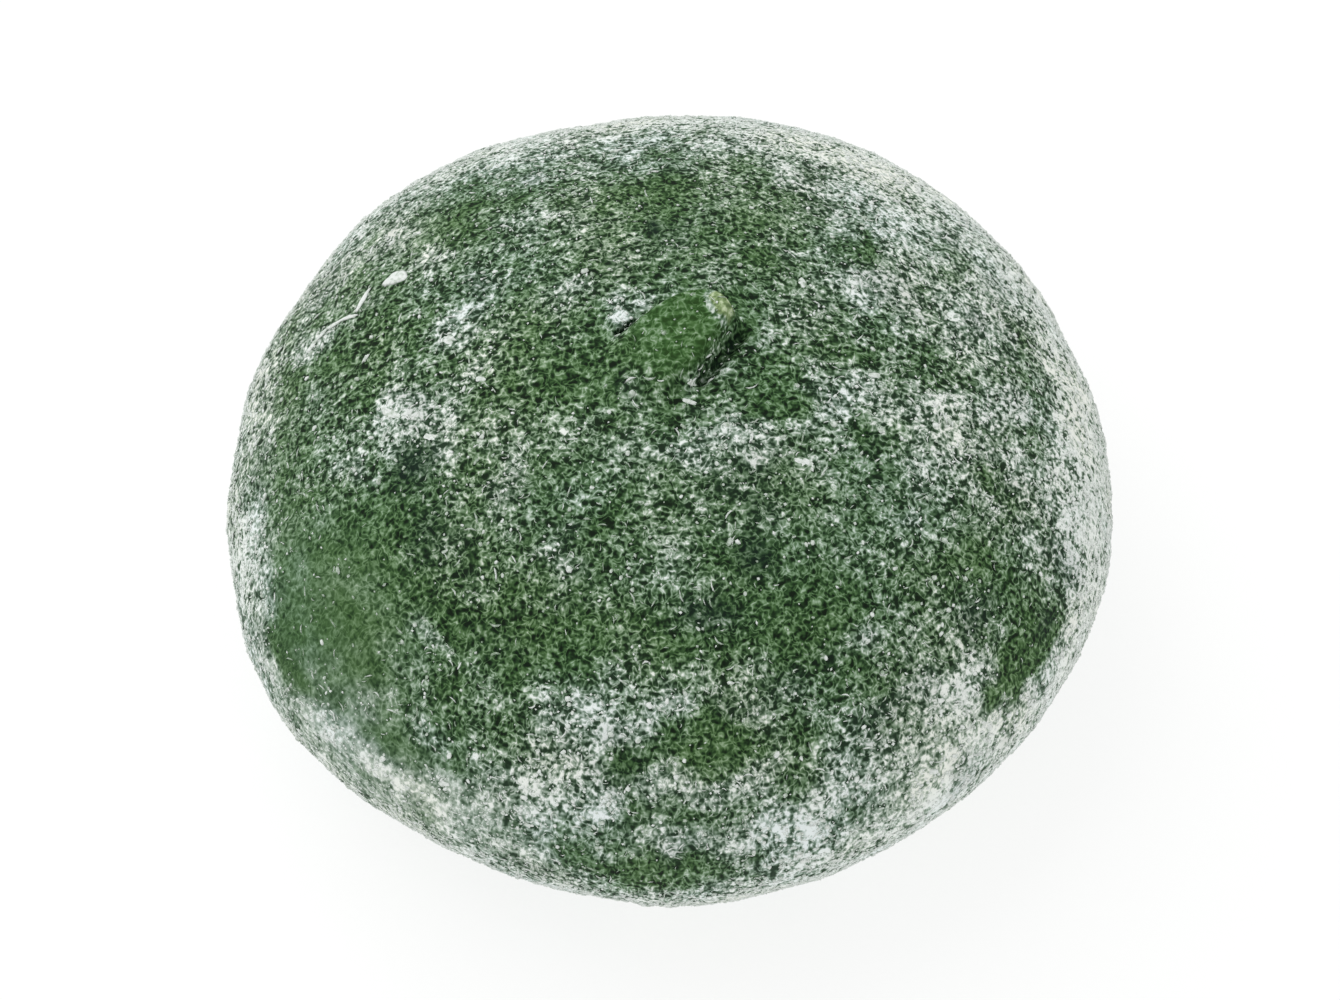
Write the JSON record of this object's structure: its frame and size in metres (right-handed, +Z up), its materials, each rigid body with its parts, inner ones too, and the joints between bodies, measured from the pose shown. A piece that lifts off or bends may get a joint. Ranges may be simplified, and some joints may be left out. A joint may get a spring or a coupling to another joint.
{
  "type": "mochi rice cake",
  "caption": "Round hand-shaped mochi of green mugwort rice dough, dusted with starch, a soft dome on a flat foot with a pinched nub on its crown.",
  "frame": {"origin": "middle of the flat face that the cake rests on", "axes": "+Z up through the crown, +X along the longest extent, -Y towards the side that faces the viewer"},
  "size_m": [0.0648, 0.0626, 0.0372],
  "materials": {
    "dough": "matte green mugwort rice dough, unevenly dusted with white starch"
  },
  "bodies": {
    "root": {"mochi": "dough"}
  },
  "joints": []
}
